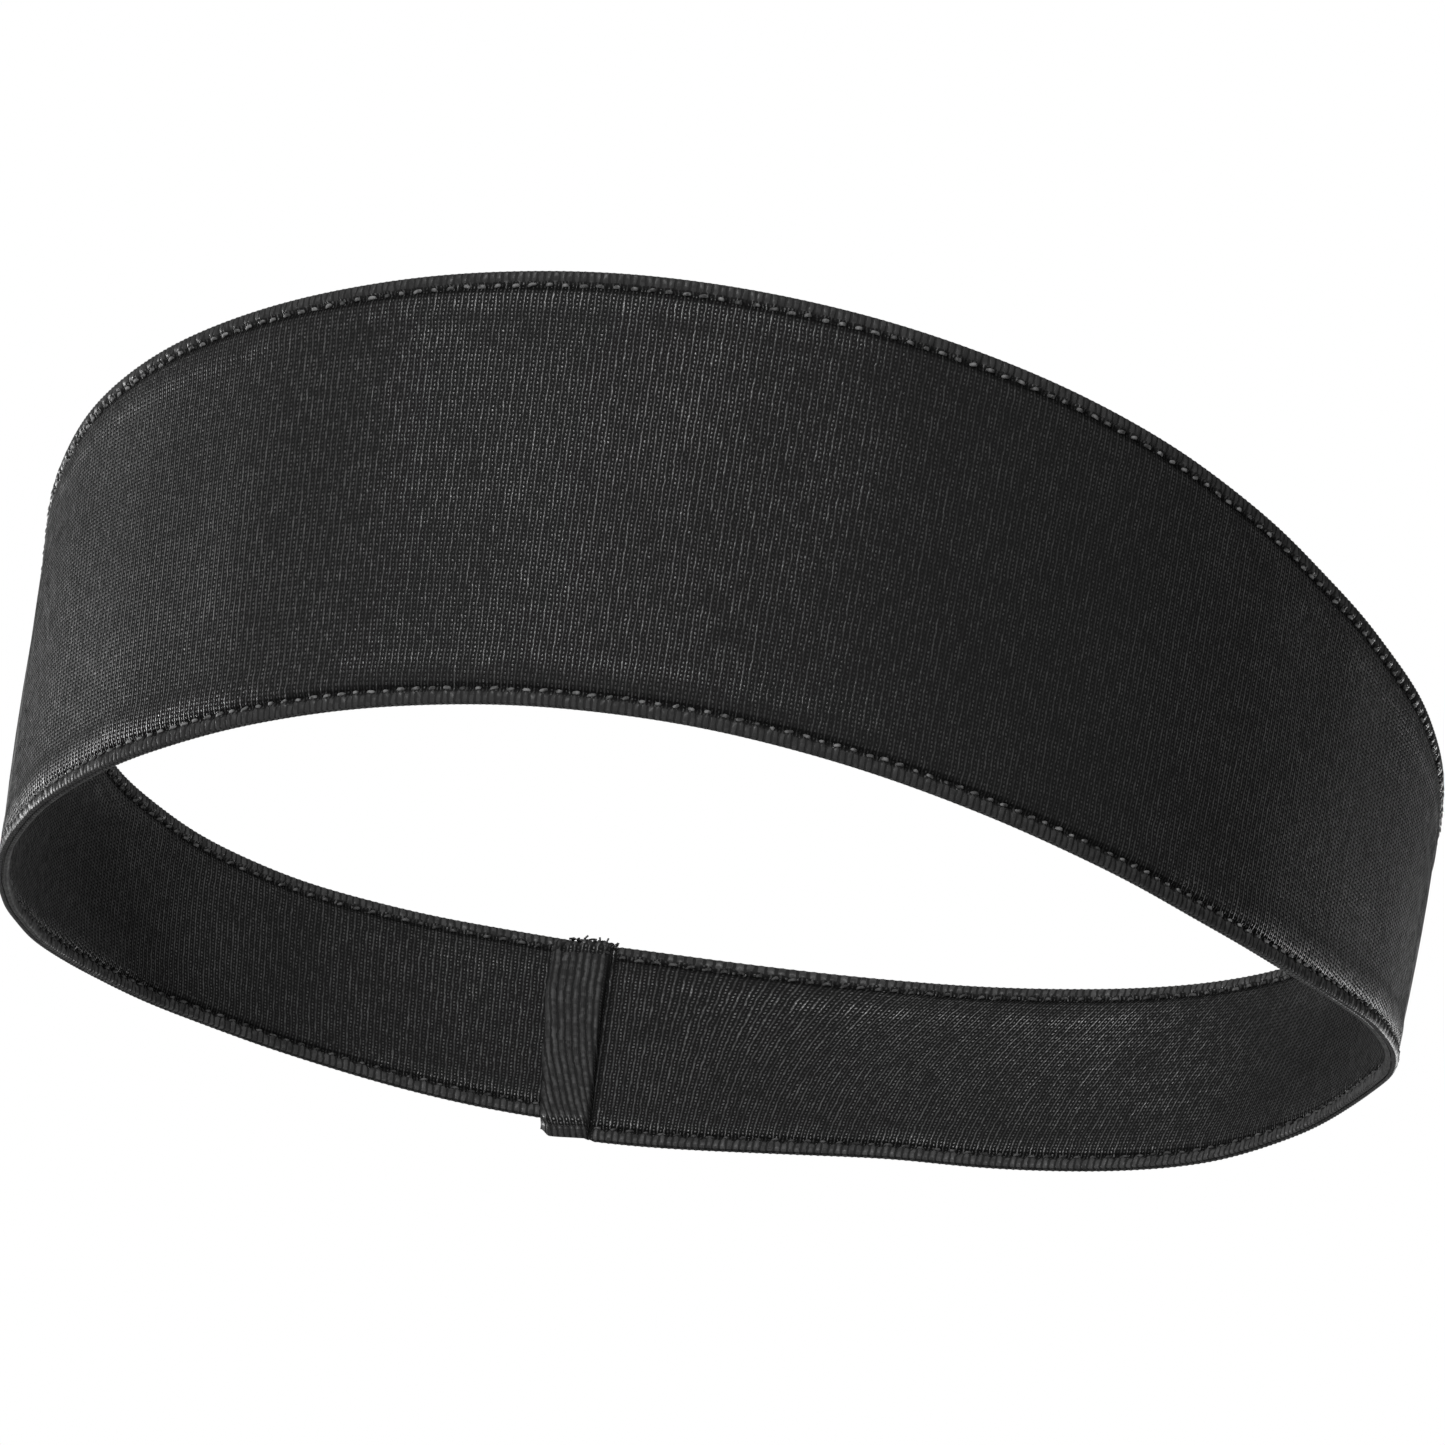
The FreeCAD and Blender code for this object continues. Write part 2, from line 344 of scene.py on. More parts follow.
def clothRows():
    # each row: rim it is measured from, inset from that rim, lift, distance walked from the rim's tip
    radius, centre = cloth["foldRadius"], cloth["foldCentre"]
    quarter = radius * math.pi / 2
    rim = []
    for angle in np.radians(cloth["foldAngles"]):
        lift = centre + radius * math.sin(angle) * cloth["foldFull"]
        rim.append((radius * (1 - math.cos(angle)), lift, radius * angle))
    for inset in cloth["rowInsets"]:
        inset = inset * mm
        rim.append((inset, float(faceLift(inset)), quarter + inset - radius))
    shown = [("upper",) + row for row in rim]
    shown += [("middle", share, rim[-1][1], 0) for share in cloth["middleRows"]]
    shown += [("lower",) + row for row in reversed(rim)]
    # the hidden side: down the turned edge, round its end, back to the rim and along the wall
    tucked = [
        (radius * 0.2, centre - radius * 0.75, -radius * 0.7),
        (radius, 0.07 * mm, -radius * 1.6),
        (cloth["stitchAt"], 0.06 * mm, -cloth["stitchAt"]),
        (cloth["turnedIn"], 0.07 * mm, -cloth["turnedIn"]),
        (cloth["turnedIn"], 0.27 * mm, -cloth["turnedIn"] - 0.2 * mm),
        (cloth["stitchAt"], 0.18 * mm, -cloth["stitchAt"]),
        (0.55 * mm, 0.28 * mm, -0.5 * mm),
        (0.55 * mm, 0.33 * mm, 0.5 * mm),
        (cloth["stitchAt"], 0.20 * mm, cloth["stitchAt"]),
        (3.0 * mm, 0.32 * mm, 3.0 * mm),
        (4.9 * mm, 0.29 * mm, 4.9 * mm),
        (6.0 * mm, 0.18 * mm, 6.0 * mm),
    ]
    hidden = [("lower",) + row for row in tucked] + [("middle", 0.5, 0.17 * mm, 0)]
    hidden += [("upper",) + row for row in reversed(tucked)]
    return shown, hidden


def swing(along, drop):
    before = -sinceSeam(along)
    reach = ease(-cloth["swingFrom"], -cloth["swingTo"], before)
    reach = reach * (1 - ease(-cloth["swingFade"][0], -cloth["swingFade"][1], before))
    rise = np.clip((1 - drop) / cloth["swingShare"], 0, 1)
    return -cloth["swing"] * reach * rise ** cloth["swingCurve"]


def rowPoints(row, ribs, side, ribbed):
    rim, inset, lift, walked = row
    along = placeOfRib(ribs)
    tall = heightOf(along)
    deepest = cloth["rowInsets"][-1] * mm
    edge = deepest if rim == "middle" else inset
    upperEdge = at(loop["upper"], along)[..., 2]
    lowerEdge = at(loop["lower"], along)[..., 2] - kink(along)
    if rim == "upper":
        drop, course = inset / tall, upperEdge - walked
    elif rim == "lower":
        drop, course = 1 - inset / tall, lowerEdge + walked
    else:
        drop = (deepest + inset * (tall - 2 * deepest)) / tall
        course = upperEdge - deepest + (lowerEdge - upperEdge + 2 * deepest) * inset
        course = course * ribbed  # nothing of the hidden row shows
    lift = np.full(len(along), lift)
    if ribbed:
        crest = (np.arange(len(along)) % cloth["perRib"] == 0).astype(float) - cloth["ribSunk"]
        heights = [cloth[name] for name in ("ribOnTip", "ribOnBead", "ribOnBead", "ribHeight")]
        lift = lift + np.interp(edge, cloth["ribReach"], heights) * crest
        stitchWave = np.cos(turn * ribs / ribCount * stitchCount)  # 1 at each needle hole
        lump = cloth["lump"] * hump(edge, cloth["lumpAt"], cloth["lumpWide"])
        hole = cloth["hole"] * hump(edge, cloth["stitchAt"], cloth["holeWide"])
        lift = lift - lump * stitchWave - hole * np.clip(stitchWave, 0, 1) ** 2
    # this mask is 1 where the cloth goes over the rim, painted paler there as a painted highlight, and
    # below 0 down in the stitch groove and at the back seam, painted darker there as painted shade
    rollAndShade = 1 - ease(cloth["rolledFrom"], cloth["rolledTo"], edge)
    # painted shade: the stitch groove is marked below 0
    rollAndShade = np.full(len(along), rollAndShade - hump(edge, cloth["darkAt"], cloth["darkWide"]))
    # painted shade along the back seam
    darkAt, darkWide = cloth["seamShadeInside"] if side < 0 else cloth["seamShadeOutside"]
    seamShadeMask = hump(sinceSeam(along), darkAt, darkWide)
    rollAndShade = rollAndShade * (1 - seamShadeMask) - cloth["seamShade"] * seamShadeMask
    if side < 0:
        along = along + swing(along, drop)
    return bandPoint(along, drop, side * lift), course, rollAndShade


def ringCloth(name, side):
    shown, hidden = clothRows()
    step = cloth["hiddenStep"]
    columns = ribCount * cloth["perRib"]
    fine = np.arange(columns) / cloth["perRib"]
    coarse = fine[::step]
    rows = [(row, fine, True) for row in shown] + [(row, coarse, False) for row in hidden]
    points, courses, rolls, starts, counts = [], [], [], [], []
    for row, ribs, ribbed in rows:
        spots, course, rollAndShade = rowPoints(row, ribs, side, ribbed)
        rolls.append(rollAndShade)
        starts.append(sum(counts))
        counts.append(len(ribs))
        points.append(spots)
        courses.append(course)
    points = np.concatenate(points)
    courses = np.concatenate(courses)
    around = np.concatenate([ribs for row, ribs, ribbed in rows])
    faces, uvs = [], []

    def add(corners):
        if side < 0:
            corners = corners[::-1]
        places = [around[c] for c in corners]
        wraps = max(places) - min(places) > ribCount / 2
        faces.append(corners)
        for c, place in zip(corners, places):
            if wraps and place < ribCount / 2:
                place = place + ribCount
            uvs.append((place * ribUnit, courses[c]))

    for number in range(len(rows)):
        after = (number + 1) % len(rows)
        here, there, many, fewer = starts[number], starts[after], counts[number], counts[after]
        for k in range(min(many, fewer)):
            n = (k + 1) % min(many, fewer)
            if many == fewer:
                add([here + k, there + k, there + n, here + n])
            elif many > fewer:
                back = [here + (k * step + j) % many for j in range(step, -1, -1)]
                add([there + k, there + n] + back)
            else:
                ahead = [there + (k * step + j) % fewer for j in range(step + 1)]
                add([here + n, here + k] + ahead)
    return meshPiece(name, points, faces, uvs, np.concatenate(rolls))


flap = {
    "start": 0.15 * mm,
    "wide": 7.4 * mm,
    "across": 57,
    "tall": 64,
    "underAcross": 7,
    "waver": ((0.12 * mm, 9, 0), (0.08 * mm, 23, 1)),  # its free side: how far, how often, from where
    "lean": 0.25 * mm,
    "leanOften": 5,
    "narrow": 0.8 * mm,
    "narrowFrom": 0.5,
    "rise": 1.05 * mm,  # the folded plies stand this far off the lining
    "squareness": 7,
    "roll": 0.28 * mm,  # the rolled fold at its free side stands a bit more
    "rollAt": (0.92, 0.07),
    "crease": 0.12 * mm,
    "creaseAt": (0.78, 0.06),
    "pressed": 0.42 * mm,  # under the stitches that cross it
    "pressedWide": 0.45 * mm,
    "endRound": 0.7 * mm,
    "wales": 8,
    "waleHeight": 0.16 * mm,
    "waleFirst": (0.02, 0.1),
    "waleLast": (0.99, 0.85),
    "bend": 4.2 * mm,  # the wales swing aside towards the lower rim
    "crumple": 0.30 * mm,  # the cut top is creased, with so many waves across and down
    "crumpleAcross": 27,
    "crumpleDown": 9,
    "crumpleStart": 2,
    "crumpleDeep": 1.5 * mm,
    "under": 0.50 * mm,
    "thin": 0.08 * mm,
    "overTop": 0.05 * mm,
    "topSlope": 1.1 * mm,
    "slopeFrom": 0.2,
    "slopeDeep": 2.5 * mm,
    "ragged": 0.22 * mm,
    "raggedWaves": ((1.0, 17, 0), (0.7, 41, 1)),
    "raggedRoot": 1.4,  # it stands up most beside the seam
    "raggedDeep": 0.8 * mm,
    "overBottom": 0.70 * mm,
    "overAcross": (-0.3, 0.8),
    "cornerRound": 0.9 * mm,
    "cornerAcross": (0.8, 1),
    "cornerDown": (0.9, 1),
    "tone": 0.60,  # its tone, which gives it the rolled rim's rib look and a painted highlight; then how much, where and how wide: painted highlight on the fold, painted shade at the root and in the stitch groove
    "foldHighlight": (0.5, 0.95, 0.08),
    "rootShade": (0.6, 0.0, 0.04),
    "stitchShade": (0.8, 1.7 * mm, 0.35 * mm),
    "stitchedFrom": 0.6 * mm,  # the stitches that run over it, raised to its height
    "stitchedTo": 6.2 * mm,
    "stitchRise": 0.70 * mm,
    "sheetShare": 1.25,  # the ply that shows, with what is rolled round its fold
}


def flapSpots():
    a, b = np.meshgrid(np.linspace(0, 1, flap["across"]), np.linspace(0, 1, flap["tall"]))
    waver = sum(far * np.sin(b * often + first) for far, often, first in flap["waver"])
    along = flap["start"] + a * (flap["wide"] + waver - flap["narrow"] * ease(flap["narrowFrom"], 1, b))
    along = along + flap["lean"] * np.sin(b * flap["leanOften"])
    tall = heightOf(along)
    hang = tall + band["kinkDrop"] - kink(along)  # it keeps level with the end it is sewn to
    inset = b * hang
    fromRim = np.minimum(inset, hang - inset)
    # how far it stands off the lining
    shape = np.clip(1 - (2 * np.abs(a - 0.5)) ** flap["squareness"], 0, 1) ** 0.5
    folded = flap["roll"] * hump(a, *flap["rollAt"]) - flap["crease"] * hump(a, *flap["creaseAt"])
    pressed = flap["pressed"] * hump(fromRim, cloth["stitchAt"], flap["pressedWide"])
    ends = np.clip(fromRim / flap["endRound"], 0, 1)
    ends = np.sqrt(1 - (1 - ends) ** 2)
    phase = a * flap["wales"] + (flap["bend"] / (flap["wide"] / flap["wales"])) * b ** 3
    ribbing = flap["waleHeight"] * (np.cos(turn * phase) * 0.5 + 0.5)
    ribbing = ribbing * ease(*flap["waleFirst"], a) * ease(*flap["waleLast"], a)
    crumple = flap["crumple"] * np.exp(-inset / flap["crumpleDeep"]) * np.sin(
        a * flap["crumpleAcross"] + b * flap["crumpleDown"] + flap["crumpleStart"]
    )
    lift = flap["under"] + ((flap["rise"] + folded - pressed) * shape + ribbing + crumple) * ends
    # how far down it hangs: a ragged sloping top and a rounded lower corner
    ragged = sum(far * np.sin(a * often + first) for far, often, first in flap["raggedWaves"])
    ragged = ragged + flap["raggedRoot"] * (1 - a)
    ragged = flap["ragged"] * ragged * np.exp(-inset / flap["raggedDeep"])
    slope = flap["topSlope"] * ease(flap["slopeFrom"], 1, a) * np.exp(-inset / flap["slopeDeep"])
    rounding = flap["cornerRound"] * ease(*flap["cornerAcross"], a) * ease(*flap["cornerDown"], b)
    over = flap["overBottom"] * b * ease(*flap["overAcross"], a) - flap["overTop"] * (1 - b)
    drop = (inset + slope - rounding + over - ragged) / tall
    # the tone its material reads: painted highlight on the flap and its fold, painted shade at its root
    # and under the stitches
    rollAndShade = flap["tone"]
    for sign, across, (share, centre, wide) in (
        (1, a, flap["foldHighlight"]),
        (-1, a, flap["rootShade"]),
        (-1, fromRim, flap["stitchShade"]),
    ):
        rollAndShade = rollAndShade + sign * share * hump(across, centre, wide)
    return along, drop, lift, phase * ribUnit, at(loop["upper"], along)[..., 2] - inset, rollAndShade


def makeFlap(name):
    along, drop, lift, u, v, rollAndShade = flapSpots()
    rows, wide, low = flap["tall"], flap["across"], flap["underAcross"]
    top = bandPoint(along, drop, -lift)
    backAlong = np.linspace(along[:, 0], along[:, -1], low, axis=1)
    backDrop = np.linspace(drop[:, 0], drop[:, -1], low, axis=1)
    backLift = np.full(backDrop.shape, flap["under"] - flap["thin"])
    back = bandPoint(backAlong, backDrop, -backLift)
    points = np.concatenate([top.reshape(-1, 3), back.reshape(-1, 3)])
    uvPoint = np.concatenate([np.stack([u, v], -1).reshape(-1, 2), np.zeros((rows * low, 2))])
    faces = []
    for r in range(rows - 1):
        for c in range(wide - 1):
            k = r * wide + c
            faces.append([k, k + 1, k + wide + 1, k + wide])
        for c in range(low - 1):
            k = rows * wide + r * low + c
            faces.append([k, k + low, k + low + 1, k + 1])
        sideTop, sideBack = r * wide, rows * wide + r * low
        faces.append([sideTop, sideTop + wide, sideBack + low, sideBack])
        sideTop, sideBack = sideTop + wide - 1, sideBack + low - 1
        faces.append([sideTop, sideBack, sideBack + low, sideTop + wide])
    topRow, backRow = list(range(wide)), [rows * wide + c for c in range(low)]
    faces.append(topRow[::-1] + backRow)
    topRow = [(rows - 1) * wide + c for c in range(wide)]
    backRow = [rows * wide + (rows - 1) * low + c for c in range(low)]
    faces.append(topRow + backRow[::-1])
    uvs = [uvPoint[c] for face in faces for c in face]
    return meshPiece(name, points, faces, uvs, np.concatenate([rollAndShade.ravel(), np.zeros(rows * low)]))


# Threads.

thread = {
    "across": 0.40 * mm,
    "sides": 6,
    "bends": (-0.36, -0.18, 0, 0.18, 0.36),
    "stitchLong": 0.50,  # of the pitch: the rest is the needle hole
    "uneven": (0.72, 1.14),  # no two stitches are drawn equally tight
    "tilted": 0.13,
    "arch": 0.11 * mm,
    "slant": -0.14,
    "bury": 0.24 * mm,
    "buryCurve": 2.2,
    "taper": 1.75,  # it thins towards both ends
    "tip": 0.12,
    "flattened": 1.15,
    "jitter": 0.055 * mm,
    "closing": 0.05 * mm,
    "closingInset": 0.34 * mm,
    "closingSway": 0.10 * mm,
    "closingLift": 0.012 * mm,
    "rimSeed": {"upper": 1, "lower": 2},
    "sideSeed": {1: 10, -1: 20},
}


def oneStitch():
    # a short bar, cut across so that both its ends can dive into the cloth
    bpy.ops.object.select_all(action="DESELECT")
    bpy.ops.mesh.primitive_cylinder_add(
        vertices=thread["sides"], radius=0.5, depth=1, location=(0, 0, 0), rotation=(0, math.pi / 2, 0)
    )
    bar = bpy.context.object
    bpy.ops.object.transform_apply(location=True, rotation=True, scale=True)
    bpy.ops.object.mode_set(mode="EDIT")
    for place in thread["bends"]:
        bpy.ops.mesh.select_all(action="SELECT")
        bpy.ops.mesh.bisect(plane_co=(place, 0, 0), plane_no=(1, 0, 0))
    bpy.ops.object.mode_set(mode="OBJECT")
    points = np.array([vertex.co for vertex in bar.data.vertices])
    faces = [list(face.vertices) for face in bar.data.polygons]
    bpy.data.objects.remove(bar)
    return points, faces


def stitchRow(name, rim, side, shape):
    points, faces = shape
    count = stitchCount
    rng = np.random.default_rng(count + thread["rimSeed"][rim] + thread["sideSeed"][side])
    holes = placeOfRib(np.arange(count + 1) / count * ribCount)
    starts = (holes[1:] + holes[:-1]) / 2 + rng.normal(0, thread["jitter"], count)
    longness = (holes[1:] - holes[:-1]) * thread["stitchLong"] * rng.uniform(*thread["uneven"], count)
    inset = cloth["stitchAt"] + rng.normal(0, thread["jitter"], count)
    tilt = thread["slant"] * side * (1 if rim == "upper" else -1) + rng.normal(0, thread["tilted"], count)
    x, y, z = points.T
    thick = np.sqrt(np.clip(1 - (np.abs(x) * thread["taper"]) ** 4, thread["tip"], 1)) * thread["across"]
    spread = x[None] * longness[:, None]
    down = inset[:, None] + spread * np.tan(tilt)[:, None] + y[None] * thick * thread["flattened"]
    onFlap = (starts > flap["stitchedFrom"]) & (starts < flap["stitchedTo"]) & (side < 0)
    low = float(faceLift(cloth["stitchAt"])) + flap["stitchRise"] * onFlap
    arch = thread["arch"] - thread["bury"] * (2 * np.abs(x)) ** thread["buryCurve"]
    lift = low[:, None] + arch[None] + z[None] * thick
    along = starts[:, None] + spread
    tall = heightOf(along)
    if rim == "lower":
        down = down - onFlap[:, None] * (band["kinkDrop"] - kink(along))
    drop = down / tall if rim == "upper" else 1 - down / tall
    spots = bandPoint(along, drop, side * lift).reshape(-1, 3)
    mirrored = (side < 0) != (rim == "lower")
    joined = []
    for k in range(count):
        for face in faces:
            corners = [c + k * len(points) for c in face]
            joined.append(corners if mirrored else corners[::-1])
    uvs = [(x[c % len(points)], z[c % len(points)]) for face in joined for c in face]
    return meshPiece(name, spots, joined, uvs)


def threadAlong(name, centre, outward, sideways, radius, closed):
    sides = thread["sides"]
    rings = []
    for k in range(sides):
        angle = turn * k / sides
        rings.append(centre + radius * (math.cos(angle) * outward + math.sin(angle) * sideways))
    points = np.stack(rings, 1).reshape(-1, 3)
    count = len(centre)
    faces = []
    for r in range(count if closed else count - 1):
        n = (r + 1) % count
        for k in range(sides):
            j = (k + 1) % sides
            faces.append([r * sides + k, r * sides + j, n * sides + j, n * sides + k])
    if not closed:
        faces.append(list(range(sides))[::-1])
        faces.append([(count - 1) * sides + k for k in range(sides)])
    uvs = [(0.0, 0.0)] * sum(len(face) for face in faces)
    return meshPiece(name, points, faces, uvs)


def closingSeam(name, rim):
    count = stitchCount * 4  # four points to a stitch
    steps = np.arange(count)
    along = steps * length / count
    inset = thread["closingInset"] + thread["closingSway"] * np.cos(turn * steps / 2)
    tall = heightOf(along)
    drop = inset / tall if rim == "upper" else 1 - inset / tall
    centre = bandPoint(along, drop, thread["closingLift"] * np.sin(turn * steps / 4))
    out = at(loop["out"], along)
    ahead = np.roll(centre, -1, 0) - np.roll(centre, 1, 0)
    ahead /= np.linalg.norm(ahead, axis=1, keepdims=True)
    return threadAlong(name, centre, out, np.cross(ahead, out), thread["closing"], True)


frays = {
    "number": 70,
    "points": 7,
    "thick": 0.14 * mm,
    "long": 0.50 * mm,
    "shortest": 0.35,
    "spread": (-0.3 * mm, 5.2 * mm),  # past the seam, along the rim
    "deep": (0.0, 0.5 * mm),
    "lift": (0.3 * mm, 1.3 * mm),
    "wild": 0.6,
    "upward": 0.1,
    "aside": (0.3, 1.0, 0.2),
    "seed": 12,
}


def looseFibres(name):
    # broken ends of yarn where the seam crosses the upper rim
    rng = np.random.default_rng(frays["seed"])
    tall = float(heightOf(np.array([0.0]))[0])
    share = np.linspace(0, 1, frays["points"])[:, None]
    strands = []
    for number in range(frays["number"]):
        place, deep, lift = [rng.uniform(*frays[word]) for word in ("spread", "deep", "lift")]
        lean = rng.normal(0, frays["wild"], 3) + np.array([0, 0, frays["upward"]])
        curl = rng.normal(0, frays["wild"], 3)
        reach = frays["long"] * rng.uniform(frays["shortest"], 1.0)
        centre = bandPoint(place, deep / tall, -lift) + reach * (share * lean + share ** 2 * curl)
        ahead = np.gradient(centre, axis=0)
        ahead /= np.linalg.norm(ahead, axis=1, keepdims=True)
        across = np.cross(ahead, frays["aside"])
        across /= np.linalg.norm(across, axis=1, keepdims=True)
        beside = np.cross(ahead, across)
        strands.append(threadAlong(name, centre, across, beside, frays["thick"], False))
    bpy.ops.object.select_all(action="DESELECT")
    for strand in strands:
        strand.select_set(True)
    bpy.context.view_layer.objects.active = strands[0]
    bpy.ops.object.join()
    strands[0].name = name
    return strands[0]


joining = {
    "points": 150,
    "pitch": 1.9 * mm,
    "ends": 0.9 * mm,
    "sway": 0.10 * mm,
    "swayOften": 17,
    "lift": 0.33 * mm,
    "bob": 0.09 * mm,
    "radius": 0.06 * mm,
}


def backSeamThread(name):
    share = np.linspace(0, 1, joining["points"])
    tall = float(heightOf(np.array([0.0]))[0])
    along = joining["sway"] * np.sin(share * joining["swayOften"])
    drop = (joining["ends"] + share * (tall - 2 * joining["ends"])) / tall
    bob = joining["bob"] * np.cos(turn * share * tall / joining["pitch"])
    centre = bandPoint(along, drop, -(joining["lift"] + bob))
    out = at(loop["out"], along)
    ahead = np.gradient(centre, axis=0)
    ahead /= np.linalg.norm(ahead, axis=1, keepdims=True)
    return threadAlong(name, centre, out, np.cross(ahead, out), joining["radius"], False)


# Finishes.

def nodeMath(tree, operation, *inputs):
    node = tree.nodes.new("ShaderNodeMath")
    node.operation = operation
    for socket, value in zip(node.inputs, inputs):
        if isinstance(value, (int, float)):
            socket.default_value = value
        else:
            tree.links.new(value, socket)
    return node.outputs[0]


def nodeRange(tree, value, low, high, first=0.0, last=1.0):
    node = tree.nodes.new("ShaderNodeMapRange")
    node.interpolation_type = "SMOOTHSTEP"
    tree.links.new(value, node.inputs["Value"])
    for name, number in (("From Min", low), ("From Max", high), ("To Min", first), ("To Max", last)):
        node.inputs[name].default_value = number
    return node.outputs["Result"]


def nodeNoise(tree, vector, scale, detail=2.0):
    node = tree.nodes.new("ShaderNodeTexNoise")
    node.inputs["Scale"].default_value = scale
    node.inputs["Detail"].default_value = detail
    tree.links.new(vector, node.inputs["Vector"])
    return node.outputs["Fac"]


def nodeMix(tree, share, first, second):
    node = tree.nodes.new("ShaderNodeMix")
    node.data_type = "RGBA"
    tree.links.new(share, node.inputs["Factor"])
    for socket, value in ((node.inputs["A"], first), (node.inputs["B"], second)):
        if isinstance(value, tuple):
            socket.default_value = value + (1.0,)
        else:
            tree.links.new(value, socket)
    return node.outputs["Result"]


def nodeCell(tree, across, along):
    node = tree.nodes.new("ShaderNodeCombineXYZ")
    tree.links.new(across, node.inputs[0])
    tree.links.new(along, node.inputs[1])
    return node.outputs[0]


def nodeBump(tree, height, distance, shader):
    node = tree.nodes.new("ShaderNodeBump")
    node.inputs["Strength"].default_value = 1.0
    node.inputs["Distance"].default_value = distance
    tree.links.new(height, node.inputs["Height"])
    tree.links.new(node.outputs["Normal"], shader.inputs["Normal"])


def startMaterial(name):
    material = bpy.data.materials.new(name)
    material.use_nodes = True
    tree = material.node_tree
    shader = next(node for node in tree.nodes if node.type == "BSDF_PRINCIPLED")
    return material, tree, shader


def grey(level):
    return (level, level, level)


knit = {
    "ground": 0.017,
    "strand": 0.028,
    "strandFrom": 0.25,
    "strandTo": 0.95,
    # painted highlight: how much paler the rolled rim and the raised flap are painted
    "rimHighlight": 1.8,
    # painted shade: how dark the stitch groove is painted
    "grooveShade": 0.35,
    "rolledShine": 0.18,
    "dotPitch": 0.465 * mm,
    "wander": 0.35,  # of a rib's width
    "wanderScale": 700.0,
    "wobble": 0.22,
    "wobbleScale": 2400.0,
    "between": (0.25, -0.25),
    "gap": (0.3, -0.8),
    "cutUp": 0.8,
    "pinch": 0.13,
    "overRim": (0.3, 0.8),  # from the flat knit to the look of the rolled rim
    "singleRib": (-0.95, -0.2),
    "loopTone": (0.5, 1.35),
    "patchScale": 60.0,
    "patch": (0.30, 0.72, 0.8, 1.1),
    "speckScale": 900.0,
    "speck": (0.3, 0.7, 0.75, 1.2),
    "runPitch": 0.2,  # courses are drawn out five times to give runs along a strand
    "runScale": 0.77,
    "run": (0.32, 0.68, 0.6, 1.35),
    "roughness": 0.38,
    "gloss": 0.75,  # only the tops of the yarns shine
    "bump": 0.04 * mm,
    "loopBump": 0.45,
    "grain": 0.25,
    "grainScale": 2600.0,
}


